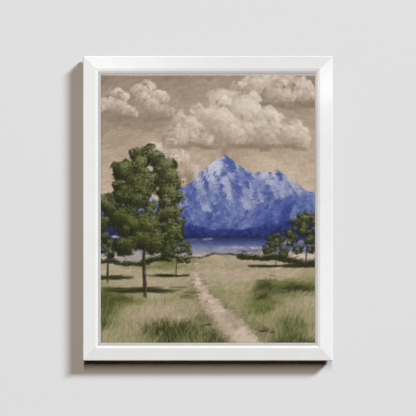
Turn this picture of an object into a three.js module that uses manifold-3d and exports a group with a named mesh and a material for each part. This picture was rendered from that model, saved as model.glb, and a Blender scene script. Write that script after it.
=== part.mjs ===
// A framed canvas picture for a wall: a white mitred wooden frame that holds a stretched canvas.
// Millimetres, +Z up. The front faces -Y, and the wall is the plane y = 0.
// The origin is the point of the wall behind the notch that the picture hangs by.

import * as THREE from "three";
import { mergeVertices } from "three/addons/utils/BufferGeometryUtils.js";
import Module from "manifold-3d";

const wasm = await Module();
wasm.setup();

// Canvas: a slim stretched canvas of 16 by 20 inches.
const inch = 25.4;
const canvasWidth = 16 * inch;
const canvasHeight = 20 * inch;
const clothThickness = 0.5;
const flapWidth = 31;

// Stretcher bars, which the cloth is wrapped round.
const barWidth = 38;
const barDepth = 16;
const barRimWidth = 5;
const barBevelEnd = 13;
const barBevelDrop = 2.2;
const barArris = 1.2;

// Frame moulding, measured from its outer edge and from its front face.
const railWidth = 33;
const railDepth = 25;
const faceWidth = 23.4;
const chamferWidth = 4.2;
const chamferDrop = 1.25;
const sightEdgeDrop = 0.6;
const sightEdgeEase = 1.1;
const recessDepth = 3.8;
const lipWidth = 6;
const outerArris = 1.5;
const backArris = 0.8;
const canvasPlay = 1.5;

// Gaps, standoff and hanging point.
const fitGap = 0.3;
const wallStandoff = 8;
const notchInset = 16.5;

// Sizes that follow from these.
const rabbetInset = railWidth - lipWidth;
const frameWidth = canvasWidth + 2 * (canvasPlay + rabbetInset);
const frameHeight = canvasHeight + 2 * (canvasPlay + rabbetInset);
const clothFront = recessDepth + fitGap;
const barFront = clothFront + clothThickness + fitGap;
const barBack = barFront + barDepth;
const flapFront = barBack + fitGap;
const flapBack = flapFront + clothThickness;
const wallDepth = railDepth + wallStandoff;
const clothWrap = clothThickness + fitGap;
const barsWidth = canvasWidth - 2 * clothWrap;
const barsHeight = canvasHeight - 2 * clothWrap;
const mitreRelief = fitGap / 2 * Math.SQRT2;

// Loose tongue at the corners of the stretcher.
const tongueFrom = 10;
const tongueTo = 28;
const tongueReach = 8;
const tongueRoot = 46;
const tongueFront = barFront + 6;
const tongueThickness = 4.5;

// Staples that hold the cloth to the back of the bars.
const stapleCrown = 12;
const stapleWire = 0.5;
const stapleWidth = 1;
const stapleLeg = 6;
const stapleInset = 20;
const stapleEndMargin = 50;
const staplesOnShortSide = 5;
const staplesOnLongSide = 7;

// Bent corner nails, driven across each mitre from the back.
const cornerNailInsets = [7, 17];
const cornerNailLeg = 7;
const cornerNailThickness = 0.8;
const cornerNailHeight = 10;

// Offset clips that hold the canvas in the frame.
const clipPlaces = [-160, 160];
const clipWidth = 15;
const clipFrom = 7;
const clipTo = 42;
const clipThickness = 0.8;
const clipStepRun = 3.4;
const clipCornerRadius = 5;
const clipScrewInset = 15;

const screwShaftRadius = 1.5;
const screwHeadRadius = 3;
const screwHeadHeight = 1.8;
const screwLength = 12;
const screwRecess = { length: 3.2, width: 0.7, depth: 1.1 };

// Sawtooth hanger on the back of the top rail.
const hangerLength = 45;
const hangerHeight = 10;
const hangerThickness = 0.9;
const hangerRise = 1.5;
const hangerBridge = 24;
const hangerSlope = 2;
const toothPitch = 3;
const toothDepth = 2;
const toothTip = 0.4;
const toothCount = 7;
const hangerNailPlace = 18.2;
const hangerNailShaftRadius = 0.8;
const hangerNailHeadRadius = 2.2;
const hangerNailHeadHeight = 1;
const hangerNailLength = 10;

// Bumpers that keep the lower corners off the wall.
const bumperRadius = 5.5;
const bumperFlatRadius = 3.8;
const bumperShoulder = 2;
const bumperFromSide = 45;

const roundSegments = 24;
const arcSegments = 5;

const paint = new THREE.MeshStandardMaterial({ color: 0xebebe8, roughness: 0.45, metalness: 0 });
const pine = new THREE.MeshStandardMaterial({ color: 0xd8b98a, roughness: 0.75, metalness: 0 });
const cloth = new THREE.MeshStandardMaterial({ color: 0xab9f90, roughness: 0.85, metalness: 0 });
const steel = new THREE.MeshStandardMaterial({ color: 0xb4b6b8, roughness: 0.35, metalness: 1 });
const brass = new THREE.MeshStandardMaterial({ color: 0xc8a45a, roughness: 0.35, metalness: 1 });
const rubber = new THREE.MeshStandardMaterial({ color: 0xd9d7d0, roughness: 0.6, metalness: 0 });

// The four sides of a rectangle. A side's own X runs along it, Y goes back from the front face of
// the frame, and Z goes in from its outer edge.
const sides = [
  { name: "bottom", turn: 0, upright: false },
  { name: "left", turn: Math.PI / 2, upright: true },
  { name: "top", turn: Math.PI, upright: false },
  { name: "right", turn: -Math.PI / 2, upright: true },
];

function sideLength(side, width, height) {
  return side.upright ? height : width;
}

function sideMatrix(side, width, height) {
  const half = (side.upright ? width : height) / 2;
  const matrix = new THREE.Matrix4().makeRotationY(side.turn);
  return matrix.setPosition(-Math.sin(side.turn) * half, 0, -Math.cos(side.turn) * half);
}

// Closed solids from geometry, and geometry from solids.

function solidOf(geometry) {
  const bare = geometry.clone();
  bare.deleteAttribute("normal");
  bare.deleteAttribute("uv");
  const merged = mergeVertices(bare, 1e-4);
  const corners = merged.index.array;
  const kept = [];
  for (let i = 0; i < corners.length; i += 3) {
    const [a, b, c] = [corners[i], corners[i + 1], corners[i + 2]];
    if (a !== b && b !== c && c !== a) kept.push(a, b, c);
  }
  return new wasm.Manifold(new wasm.Mesh({
    numProp: 3,
    vertProperties: new Float32Array(merged.attributes.position.array),
    triVerts: new Uint32Array(kept),
  }));
}

function geometryOf(solid) {
  const mesh = solid.getMesh();
  const geometry = new THREE.BufferGeometry();
  geometry.setAttribute("position", new THREE.BufferAttribute(mesh.vertProperties, 3));
  geometry.setIndex(new THREE.BufferAttribute(mesh.triVerts, 1));
  geometry.computeVertexNormals();
  return geometry;
}

function joined(geometries) {
  return geometryOf(geometries.map(solidOf).reduce((whole, part) => whole.add(part)));
}

function cut(geometry, cutters) {
  return geometryOf(cutters.map(solidOf).reduce((whole, cutter) => whole.subtract(cutter), solidOf(geometry)));
}

// Shapes in a side's own axes.

function polygon(points) {
  return new THREE.Shape(points.map(([x, y]) => new THREE.Vector2(x, y)));
}

function block(along, back, inwards) {
  const box = new THREE.BoxGeometry(along[1] - along[0], back[1] - back[0], inwards[1] - inwards[0]);
  return box.translate((along[0] + along[1]) / 2, (back[0] + back[1]) / 2, (inwards[0] + inwards[1]) / 2);
}

// A bar whose section is drawn as (back, inwards), with both ends cut at 45 degrees.
function mitredBar(section, length) {
  const bar = new THREE.ExtrudeGeometry(section, { depth: 1, bevelEnabled: false, curveSegments: arcSegments });
  const place = bar.attributes.position;
  for (let i = 0; i < place.count; i += 1) {
    const back = place.getX(i);
    const inwards = place.getY(i);
    const end = place.getZ(i) < 0.5 ? -1 : 1;
    place.setXYZ(i, end * (length / 2 - inwards - mitreRelief), back, inwards);
  }
  return bar;
}

// A strip whose section is drawn as (back, inwards), with square ends.
function strip(section, from, to) {
  const bar = new THREE.ExtrudeGeometry(section, { depth: to - from, bevelEnabled: false });
  const place = bar.attributes.position;
  for (let i = 0; i < place.count; i += 1) {
    place.setXYZ(i, from + place.getZ(i), place.getX(i), place.getY(i));
  }
  return bar;
}

// A plate whose outline is drawn as (along, inwards), between two depths.
function plate(outline, from, to) {
  const sheet = new THREE.ExtrudeGeometry(outline, {
    depth: to - from, bevelEnabled: false, curveSegments: arcSegments,
  });
  return sheet.rotateX(Math.PI / 2).translate(0, to, 0);
}

// A profile drawn as (along, back), between two insets.
function ribbon(profile, from, to) {
  return new THREE.ExtrudeGeometry(profile, { depth: to - from, bevelEnabled: false }).translate(0, 0, from);
}

// A round piece on an axis that goes back, from points of (radius, back).
function turned(points, along, inwards, segments = roundSegments) {
  const profile = points.map(([radius, back]) => new THREE.Vector2(radius, back));
  return new THREE.LatheGeometry(profile, segments).translate(along, 0, inwards);
}

function roundHole(radius, from, to, along, inwards) {
  return turned([[0, from], [radius, from], [radius, to], [0, to]], along, inwards, 16);
}

function roundedRectangle(fromX, toX, fromY, toY, radius) {
  const outline = new THREE.Shape();
  outline.moveTo(fromX + radius, fromY);
  outline.absarc(toX - radius, fromY + radius, radius, -Math.PI / 2, 0);
  outline.absarc(toX - radius, toY - radius, radius, 0, Math.PI / 2);
  outline.absarc(fromX + radius, toY - radius, radius, Math.PI / 2, Math.PI);
  outline.absarc(fromX + radius, fromY + radius, radius, Math.PI, 1.5 * Math.PI);
  return outline;
}

// The assembly: everything is built round the centre of the frame's front face.

const picture = new THREE.Group();
const centred = new THREE.Group();
centred.position.set(0, -wallDepth, notchInset - frameHeight / 2);
picture.add(centred);

function addPiece(name, geometry, material, side, width, height) {
  const mesh = new THREE.Mesh(geometry, material);
  mesh.name = name;
  if (side) mesh.applyMatrix4(sideMatrix(side, width, height));
  centred.add(mesh);
}

// Frame rails: a flat face, a chamfer, and a sight edge that slopes gently down over the canvas.

// Goes to just before a corner, and rounds it off on the way to the next point.
function softCorner(section, corner, next) {
  const point = new THREE.Vector2(...corner);
  const before = section.currentPoint.clone().sub(point).setLength(sightEdgeEase).add(point);
  const after = new THREE.Vector2(...next).sub(point).setLength(sightEdgeEase).add(point);
  section.lineTo(before.x, before.y);
  section.quadraticCurveTo(point.x, point.y, after.x, after.y);
}

function railSection() {
  const chamferFoot = [chamferDrop, faceWidth + chamferWidth];
  const sightEdge = [chamferDrop + sightEdgeDrop, railWidth];
  const section = new THREE.Shape();
  section.moveTo(railDepth - backArris, 0);
  section.lineTo(outerArris, 0);
  section.absarc(outerArris, outerArris, outerArris, -Math.PI / 2, -Math.PI, true);
  softCorner(section, [0, faceWidth], chamferFoot);
  softCorner(section, chamferFoot, sightEdge);
  softCorner(section, sightEdge, [recessDepth, railWidth]);
  section.lineTo(recessDepth, railWidth);
  section.lineTo(recessDepth, rabbetInset);
  section.lineTo(railDepth, rabbetInset);
  section.lineTo(railDepth, backArris);
  section.lineTo(railDepth - backArris, 0);
  return section;
}

function cornerNailOutline(inset, end, length, grow) {
  const near = inset - grow;
  const thick = inset + cornerNailThickness + grow;
  const far = inset + cornerNailLeg + grow;
  const corner = [[near, near], [far, near], [far, thick], [thick, thick], [thick, far], [near, far]];
  return polygon(corner.map(([a, b]) => [end * (length / 2 - a), b]));
}

function cornerNailPockets(length) {
  const from = railDepth - cornerNailHeight - fitGap;
  return cornerNailInsets.flatMap((inset) => [-1, 1].map((end) => (
    plate(cornerNailOutline(inset, end, length, fitGap), from, railDepth + 1)
  )));
}

function clipScrewHoles() {
  const from = railDepth - screwLength;
  return clipPlaces.map((place) => (
    roundHole(screwShaftRadius + fitGap, from, railDepth + 1, place, clipScrewInset)
  ));
}

function hangerNailHoles(from, to) {
  const inset = notchInset + toothDepth - hangerHeight / 2;
  return [-hangerNailPlace, hangerNailPlace].map((place) => (
    roundHole(hangerNailShaftRadius + fitGap, from, to, place, inset)
  ));
}

function makeRails() {
  const section = railSection();
  for (const side of sides) {
    const length = sideLength(side, frameWidth, frameHeight);
    const cutters = cornerNailPockets(length);
    if (side.upright) cutters.push(...clipScrewHoles());
    if (side.name === "top") cutters.push(...hangerNailHoles(railDepth - hangerNailLength, railDepth + 1));
    const rail = cut(mitredBar(section, length), cutters);
    addPiece(`rail_${side.name}`, rail, paint, side, frameWidth, frameHeight);
  }
}

function makeCornerNails() {
  for (const side of sides) {
    const length = sideLength(side, frameWidth, frameHeight);
    cornerNailInsets.forEach((inset, i) => {
      const nail = plate(cornerNailOutline(inset, 1, length, 0), railDepth - cornerNailHeight, railDepth);
      addPiece(`corner_nail_${side.name}_${i + 1}`, nail, steel, side, frameWidth, frameHeight);
    });
  }
}

// Stretcher bars: a raised rim at the front carries the cloth, which clears the rest of the bar.

function barSection() {
  const section = new THREE.Shape();
  section.moveTo(barBack, 0);
  section.lineTo(barFront + barArris, 0);
  section.absarc(barFront + barArris, barArris, barArris, -Math.PI / 2, -Math.PI, true);
  section.lineTo(barFront, barRimWidth);
  section.lineTo(barFront + barBevelDrop, barBevelEnd);
  section.lineTo(barFront + barBevelDrop, barWidth - barArris);
  section.lineTo(barFront + barBevelDrop + barArris, barWidth);
  section.lineTo(barBack - barArris, barWidth);
  section.lineTo(barBack, barWidth - barArris);
  section.lineTo(barBack, 0);
  return section;
}

function tongue(length, end, grow) {
  const along = [length / 2 - tongueRoot, length / 2 - tongueReach + grow].map((place) => end * place);
  along.sort((a, b) => a - b);
  const back = [tongueFront - grow, tongueFront + tongueThickness + grow];
  return block(along, back, [tongueFrom - grow, tongueTo + grow]);
}

// The slot for a neighbour's tongue, in the axes of the bar that is cut.
function tongueSlot(length, end) {
  const along = [length / 2 - tongueTo - fitGap, length / 2 - tongueFrom + fitGap].map((place) => end * place);
  along.sort((a, b) => a - b);
  const back = [tongueFront - fitGap, tongueFront + tongueThickness + fitGap];
  return block(along, back, [tongueReach - fitGap, tongueRoot]);
}

function staplePlaces(side) {
  const length = sideLength(side, barsWidth, barsHeight) - 2 * stapleEndMargin;
  const count = side.upright ? staplesOnLongSide : staplesOnShortSide;
  return Array.from({ length: count }, (_, i) => length * (i / (count - 1) - 0.5));
}

function stapleLegHoles(side, from, to) {
  const reach = stapleCrown / 2;
  const across = [stapleInset - stapleWidth / 2 - fitGap, stapleInset + stapleWidth / 2 + fitGap];
  return staplePlaces(side).flatMap((place) => [-1, 1].map((end) => {
    const along = [place + end * (reach + fitGap), place + end * (reach - stapleWire - fitGap)];
    along.sort((a, b) => a - b);
    return block(along, [from, to], across);
  }));
}

function makeBars() {
  const section = barSection();
  for (const side of sides) {
    const length = sideLength(side, barsWidth, barsHeight);
    const holes = stapleLegHoles(side, flapBack + fitGap - stapleLeg, barBack + 1);
    const bar = mitredBar(section, length);
    const whole = side.upright ? bar : joined([bar, tongue(length, -1, 0), tongue(length, 1, 0)]);
    const slots = side.upright ? [tongueSlot(length, -1), tongueSlot(length, 1)] : [];
    addPiece(`stretcher_${side.name}`, cut(whole, [...holes, ...slots]), pine, side, barsWidth, barsHeight);
  }
}

// Canvas: one cloth over the front and the edges of the bars, turned in behind them.

function centredBlock(width, back, height) {
  return block([-width / 2, width / 2], back, [-height / 2, height / 2]);
}

function makeCanvas() {
  const outside = centredBlock(canvasWidth, [clothFront, flapBack], canvasHeight);
  const innerWidth = canvasWidth - 2 * clothThickness;
  const innerHeight = canvasHeight - 2 * clothThickness;
  const inside = centredBlock(innerWidth, [clothFront + clothThickness, flapFront], innerHeight);
  const windowBack = [flapFront - 1, flapBack + 1];
  const window = centredBlock(canvasWidth - 2 * flapWidth, windowBack, canvasHeight - 2 * flapWidth);
  const legHoles = sides.flatMap((side) => stapleLegHoles(side, flapFront - 1, flapBack + 1).map((hole) => (
    hole.applyMatrix4(sideMatrix(side, barsWidth, barsHeight))
  )));
  addPiece("canvas", cut(outside, [inside, window, ...legHoles]), cloth);
}

function makeStaples() {
  const reach = stapleCrown / 2;
  const near = flapBack + fitGap;
  const foot = near - stapleLeg;
  const far = near + stapleWire;
  const inner = reach - stapleWire;
  for (const side of sides) {
    staplePlaces(side).forEach((place, i) => {
      const outline = [
        [-reach, foot], [-inner, foot], [-inner, near], [inner, near],
        [inner, foot], [reach, foot], [reach, far], [-reach, far],
      ];
      const wire = polygon(outline.map(([along, back]) => [place + along, back]));
      const staple = ribbon(wire, stapleInset - stapleWidth / 2, stapleInset + stapleWidth / 2);
      addPiece(`staple_${side.name}_${i + 1}`, staple, steel, side, barsWidth, barsHeight);
    });
  }
}

// Offset clips: one leg is screwed to the rail, and the other steps down to hold the canvas.

function clipGeometry(place) {
  const high = railDepth + fitGap;
  const low = flapBack + fitGap;
  const stepStart = rabbetInset + fitGap;
  const stepEnd = stepStart + clipStepRun;
  const bend = clipThickness / 2;
  const section = polygon([
    [high, clipFrom], [high, stepStart], [low, stepEnd], [low, clipTo],
    [low + clipThickness, clipTo], [low + clipThickness, stepEnd + bend],
    [high + clipThickness, stepStart + bend], [high + clipThickness, clipFrom],
  ]);
  const bent = solidOf(strip(section, place - clipWidth / 2, place + clipWidth / 2));
  const plan = roundedRectangle(place - clipWidth / 2, place + clipWidth / 2, clipFrom, clipTo, clipCornerRadius);
  const blank = solidOf(plate(plan, low - 1, high + clipThickness + 1));
  const hole = solidOf(roundHole(screwShaftRadius + fitGap, high - 1, high + clipThickness + 1, place, clipScrewInset));
  return geometryOf(bent.intersect(blank).subtract(hole));
}

function screwGeometry(place) {
  const seat = railDepth + 2 * fitGap + clipThickness;
  const top = seat + screwHeadHeight;
  const body = turned([
    [0, seat - screwLength], [screwShaftRadius * 0.6, seat - screwLength + 1.5],
    [screwShaftRadius, seat - screwLength + 4], [screwShaftRadius, seat],
    [screwHeadRadius, seat], [screwHeadRadius, seat + 0.8], [screwHeadRadius * 0.75, top - 0.2],
    [screwHeadRadius * 0.4, top], [0, top],
  ], place, clipScrewInset);
  const { length, width, depth } = screwRecess;
  const back = [top - depth, top + 1];
  const long = (middle) => [middle - length / 2, middle + length / 2];
  const narrow = (middle) => [middle - width / 2, middle + width / 2];
  return cut(body, [
    block(long(place), back, narrow(clipScrewInset)),
    block(narrow(place), back, long(clipScrewInset)),
  ]);
}

function makeClips() {
  for (const side of sides.filter((each) => each.upright)) {
    clipPlaces.forEach((place, i) => {
      addPiece(`clip_${side.name}_${i + 1}`, clipGeometry(place), steel, side, frameWidth, frameHeight);
      addPiece(`clip_screw_${side.name}_${i + 1}`, screwGeometry(place), steel, side, frameWidth, frameHeight);
    });
  }
}

// Sawtooth hanger: a bridge with teeth along its lower edge, nailed at both ends.

function hangerGeometry() {
  const low = railDepth + fitGap;
  const high = low + hangerRise;
  const end = hangerLength / 2;
  const top = hangerBridge / 2;
  const foot = top + hangerSlope;
  const bend = hangerThickness / 2;
  const under = [[-end, low], [-foot, low], [-top, high], [top, high], [foot, low], [end, low]];
  const over = [
    [end, low + hangerThickness], [foot - bend, low + hangerThickness], [top - bend, high + hangerThickness],
    [bend - top, high + hangerThickness], [bend - foot, low + hangerThickness], [-end, low + hangerThickness],
  ];
  const edge = notchInset + toothDepth;
  const hat = ribbon(polygon([...under, ...over]), edge + toothTip / 2 - hangerHeight, edge + toothTip / 2);
  const reach = toothCount * toothPitch / 2;
  const zigzag = [[reach, edge + 2], [-reach, edge + 2]];
  for (let i = 0; i < toothCount; i += 1) {
    const middle = (i - (toothCount - 1) / 2) * toothPitch;
    const half = (toothPitch - toothTip) / 2;
    zigzag.push([middle - half, edge], [middle, notchInset], [middle + half, edge]);
  }
  const teeth = plate(polygon(zigzag), low - 1, high + hangerThickness + 1);
  return cut(hat, [teeth, ...hangerNailHoles(low - 1, high)]);
}

function hangerNailGeometry(place) {
  const seat = railDepth + 2 * fitGap + hangerThickness;
  const point = seat - hangerNailLength;
  return turned([
    [0, point], [hangerNailShaftRadius, point + 1.5], [hangerNailShaftRadius, seat],
    [hangerNailHeadRadius, seat], [hangerNailHeadRadius, seat + 0.5],
    [hangerNailHeadRadius * 0.7, seat + hangerNailHeadHeight], [0, seat + hangerNailHeadHeight],
  ], place, notchInset + toothDepth - hangerHeight / 2, 16);
}

function makeHanger() {
  const top = sides.find((side) => side.name === "top");
  addPiece("hanger", hangerGeometry(), brass, top, frameWidth, frameHeight);
  [-hangerNailPlace, hangerNailPlace].forEach((place, i) => {
    addPiece(`hanger_nail_${i + 1}`, hangerNailGeometry(place), brass, top, frameWidth, frameHeight);
  });
}

// Bumpers: rubber buttons on the back of the bottom rail, whose flat tops meet the wall.

function makeBumpers() {
  const bottom = sides.find((side) => side.name === "bottom");
  const foot = railDepth + fitGap;
  const shoulder = foot + bumperShoulder;
  const steps = 5;
  const dome = Array.from({ length: steps + 1 }, (_, i) => {
    const angle = i / steps * Math.PI / 2;
    const radius = bumperFlatRadius + (bumperRadius - bumperFlatRadius) * Math.cos(angle);
    return [radius, shoulder + (wallDepth - shoulder) * Math.sin(angle)];
  });
  const profile = [[0, foot], [bumperRadius, foot], ...dome, [0, wallDepth]];
  ["left", "right"].forEach((name, i) => {
    const place = (frameWidth / 2 - bumperFromSide) * (i === 0 ? -1 : 1);
    const bumper = turned(profile, place, rabbetInset / 2);
    addPiece(`bumper_${name}`, bumper, rubber, bottom, frameWidth, frameHeight);
  });
}

makeRails();
makeCornerNails();
makeBars();
makeCanvas();
makeStaples();
makeClips();
makeHanger();
makeBumpers();

export default picture;
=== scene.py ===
# %% [markdown]
# # A framed canvas picture
# A painted canvas is stretched over four wooden bars and sits in a white mitred frame. A sawtooth hanger
# holds it on the wall, and two rubber buttons keep its lower edge parallel to the wall. The CAD model gives
# every piece its size and place. This lesson gives them their looks: lacquer, bare wood, cloth, oil paint
# and metal. It works in metres. The picture faces -Y, the wall is the plane y = 0, and +Z is up.

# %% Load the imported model
import math

import bmesh
import bpy
import numpy as np
from mathutils import Matrix, Vector


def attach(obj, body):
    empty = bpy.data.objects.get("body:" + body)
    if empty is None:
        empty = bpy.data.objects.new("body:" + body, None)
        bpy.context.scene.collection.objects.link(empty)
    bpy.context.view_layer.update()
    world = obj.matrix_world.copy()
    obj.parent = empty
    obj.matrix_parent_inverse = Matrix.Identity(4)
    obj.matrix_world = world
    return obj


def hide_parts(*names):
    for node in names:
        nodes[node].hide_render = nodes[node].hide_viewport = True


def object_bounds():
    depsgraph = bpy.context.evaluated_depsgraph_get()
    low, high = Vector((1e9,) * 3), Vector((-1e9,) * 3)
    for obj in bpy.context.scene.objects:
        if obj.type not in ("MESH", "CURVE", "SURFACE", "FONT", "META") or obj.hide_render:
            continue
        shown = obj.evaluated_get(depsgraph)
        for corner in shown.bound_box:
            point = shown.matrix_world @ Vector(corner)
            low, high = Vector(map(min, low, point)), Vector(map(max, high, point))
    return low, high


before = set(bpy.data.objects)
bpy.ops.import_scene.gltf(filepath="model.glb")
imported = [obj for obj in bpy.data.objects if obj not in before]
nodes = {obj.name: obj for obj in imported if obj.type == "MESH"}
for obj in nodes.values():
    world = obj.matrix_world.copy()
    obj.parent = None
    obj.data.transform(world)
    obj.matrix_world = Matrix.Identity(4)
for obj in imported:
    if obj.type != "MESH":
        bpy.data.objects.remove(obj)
cad_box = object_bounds()
centre = (cad_box[0] + cad_box[1]) / 2
mm = 0.001
print(len(nodes), "CAD nodes, box in mm:", [[round(n / mm, 1) for n in corner] for corner in cad_box])

# %% [markdown]
# ## Small tools
# Colours are written as hex codes, as a paint chart gives them, and one function turns them to the linear
# values that Blender reckons with. A socket is filled with a link, a number or a hex code, and one function
# adds a shader node with its settings and its filled sockets. Each material starts from the same shader, and
# a number such as roughness is set on the shader's own socket. A colour Mix takes its share in socket 0 and
# its colours in 6 and 7. A Map Range turns the span in sockets 1 and 2 to the one in 3 and 4.


# %% Colours and nodes
def paint_colour(code):
    """Red, green and blue of a hex code, from 0 to 1, as a screen shows them."""
    return np.array([int(code[i:i + 2], 16) / 255 for i in (1, 3, 5)])


def linear(shown):
    """Colours in linear light, from the way that a screen shows them."""
    return np.where(shown <= 0.04045, shown / 12.92, ((shown + 0.055) / 1.055) ** 2.4)


def fill(tree, node, sockets):
    """Fills a node's sockets, each with a link, a number or a hex code."""
    for name, value in sockets.items():
        if isinstance(value, bpy.types.NodeSocket):
            tree.links.new(value, node.inputs[name])
        elif isinstance(value, str):
            node.inputs[name].default_value = [*linear(paint_colour(value)), 1.0]
        else:
            node.inputs[name].default_value = value


def add(tree, kind, sockets=None, **settings):
    node = tree.nodes.new(kind)
    for name, value in settings.items():
        setattr(node, name, value)
    fill(tree, node, sockets or {})
    return node


def start_material(name, **constants):
    """A material with its shader's constants set, and the Object coordinates for its patterns."""
    material = bpy.data.materials.new(name)
    material.use_nodes = True
    tree = material.node_tree
    shader = tree.nodes["Principled BSDF"]
    fill(tree, shader, {socket.replace("_", " "): value for socket, value in constants.items()})
    place = add(tree, "ShaderNodeTexCoord").outputs["Object"]
    return material, tree, shader, place


print("mid grey in linear light:", [round(float(c), 3) for c in linear(paint_colour("#808080"))])

# %% [markdown]
# Modelling follows the way it is done by hand: add a primitive, select by place, and use an operator. The
# code below selects vertices, edges or faces whose every corner passes a test in millimetres.


# %% Selecting and starting pieces
close_enough = 0.02


def near(a, b):
    return abs(a - b) < close_enough


def alone(piece):
    bpy.ops.object.select_all(action="DESELECT")
    bpy.context.view_layer.objects.active = piece
    piece.select_set(True)


def pick(kind, test):
    """Selects the parts of the edited mesh that pass, and counts them."""
    bpy.ops.mesh.select_mode(type=kind)
    bpy.ops.mesh.select_all(action="DESELECT")
    mesh = bpy.context.edit_object.data
    work = bmesh.from_edit_mesh(mesh)
    chosen = 0
    for part in {"VERT": work.verts, "EDGE": work.edges, "FACE": work.faces}[kind]:
        corners = [part] if kind == "VERT" else part.verts
        if all(test(corner.co / mm) for corner in corners):
            part.select_set(True)
            chosen += 1
    bmesh.update_edit_mesh(mesh)
    return chosen


def start_block(name, low, high):
    """A cube between two corners in millimetres, left in edit mode."""
    bpy.ops.object.select_all(action="DESELECT")
    bpy.ops.mesh.primitive_cube_add(size=mm)
    block = bpy.context.object
    block.name = name
    block.scale = [b - a for a, b in zip(low, high)]
    block.location = [(a + b) / 2 * mm for a, b in zip(low, high)]
    bpy.ops.object.transform_apply(location=True, rotation=False, scale=True)
    bpy.ops.object.mode_set(mode="EDIT")
    return block


def settle(piece):
    """Puts a piece's place and turn into its mesh, and leaves its object at the origin."""
    alone(piece)
    bpy.ops.object.transform_apply(location=True, rotation=True, scale=True)


def finish_with(piece, kind, **settings):
    """Adds a modifier of a kind, with its settings, and applies it."""
    alone(piece)
    modifier = piece.modifiers.new(kind.lower(), kind)
    for name, value in settings.items():
        setattr(modifier, name, value)
    bpy.ops.object.modifier_apply(modifier=modifier.name)


bpy.ops.object.select_all(action="DESELECT")
print("nothing is selected:", len(bpy.context.selected_objects) == 0)

# %% [markdown]
# ## Camera
# The photograph looks straight at the picture. Almost nothing of the frame's sides shows, so the lens is a
# long one, from several metres away. A strip of wall of 772 mm fills the 416 pixels of its width. Its middle
# lies a little to the right of the picture's middle and above it.

# %% Camera
camera_distance = 3.6
photo_pixels, mm_per_pixel = 416, 1.855
off_right, off_up = 0.4 * mm, 0.7 * mm
view_width = photo_pixels * mm_per_pixel * mm
eye = (centre.x + off_right, cad_box[0].y - camera_distance, centre.z + off_up)
bpy.ops.object.camera_add(location=eye, rotation=(math.pi / 2, 0, 0))
camera = bpy.context.object
camera.data.lens = camera.data.sensor_width * camera_distance / view_width
bpy.context.scene.camera = camera
bpy.context.scene.view_settings.view_transform = "Standard"
print("lens of", round(camera.data.lens), "mm at", camera_distance, "m")

# %% [markdown]
# ## Wall and floor
# The wall is painted with matt emulsion, which has almost no shine, and a plain pale floor lies well below.
# Both are one-sided: seen from behind they let the eye through, so the back of the picture can be looked at.
# No reflection shows them, so the fittings there mirror the lamp behind and not the dark gap at the wall.
# Neither blocks a lamp, and only the wall throws light back.


# %% Wall and floor
def make_backdrop(name, size, location, turn, tone):
    bpy.ops.object.select_all(action="DESELECT")
    bpy.ops.mesh.primitive_plane_add(size=1, location=location, rotation=turn)
    backdrop = bpy.context.object
    backdrop.name = name
    backdrop.scale = (*size, 1)
    settle(backdrop)
    material, tree, shader, _ = start_material(
        name + "_matt_emulsion", Roughness=0.95, Specular_IOR_Level=0.1, Base_Color=tone)
    behind = add(tree, "ShaderNodeNewGeometry").outputs["Backfacing"]
    clear = add(tree, "ShaderNodeBsdfTransparent").outputs["BSDF"]
    sided = add(tree, "ShaderNodeMixShader", {0: behind, 1: shader.outputs["BSDF"], 2: clear}).outputs[0]
    fill(tree, tree.nodes["Material Output"], {"Surface": sided})
    backdrop.data.materials.append(material)
    backdrop.visible_shadow = False
    backdrop.visible_diffuse = name == "wall"
    backdrop.visible_glossy = False
    return backdrop


wall = make_backdrop("wall", (3.4, 3.0), (0, 0.3 * mm, -0.5), (math.pi / 2, 0, 0), "#E6E6E6")
make_backdrop("floor", (6.0, 5.0), (0, -2.4, -2.0), (0, 0, 0), "#E4E2DE")
print("wall faces", [round(n) for n in wall.data.polygons[0].normal])

# %% [markdown]
# ## Light
# The shadow on the wall falls about as far to the left and down as the frame is deep, with soft edges. So the
# main light is a soft box to the upper right, at about 45 degrees both ways. It stands far off, so that the
# whole wall is lit alike, and is wider than high, because the shadow's left edge is the softer one. Right
# under the frame the shadow turns almost black, and lower down it fades to a warm grey. Only a second light
# from straight ahead does that: a tall warm strip, 13 to 37 degrees up, which the frame's own depth hides
# from the wall just below.
# A third, very large lamp lights the back for whoever looks there, and the metal fittings mirror it. It is
# allowed no bounces, so that none of it leaks round the frame onto the wall. The world is bright only where
# the eye meets it. Elsewhere it is nearly dark and warm, which keeps the deepest shadow brown.


# %% Lights
middle = Vector((0, 0, centre.z))


def add_light(kind, name, place, energy, tone, **settings):
    """A light aimed at the wall behind the picture's middle. Its place is measured from there in metres."""
    bpy.ops.object.light_add(type=kind)
    light = bpy.context.object
    light.name = name
    light.data.energy = energy
    light.data.color = tone
    for setting, value in settings.items():
        setattr(light.data, setting, value)
    light.location = middle + Vector(place)
    light.rotation_euler = (-Vector(place)).to_track_quat("-Z", "Y").to_euler()
    light.visible_camera = False
    return light


daylight, lamplight, plain_light = (0.831, 0.910, 1.0), (1.0, 0.86, 0.73), (1.0, 1.0, 1.0)
far_right, ahead, behind = (45.6, -46.4, 45.0), (0, -24.0, 11.4), (-0.4, 4.5, 1.0)
soft_box = {"shape": "ELLIPSE", "size": 24.0, "size_y": 10.0}
main_light = add_light("AREA", "main_soft_box", far_right, energy=71700, tone=daylight, **soft_box)
strip = {"shape": "RECTANGLE", "size": 2.4, "size_y": 11.2}
strip_light = add_light("AREA", "warm_strip_light", ahead, energy=2925, tone=lamplight, **strip)
rear_light = add_light("AREA", "rear_light", behind, energy=480, tone=plain_light, size=13.0)
rear_light.data.cycles.max_bounces = 0

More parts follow.
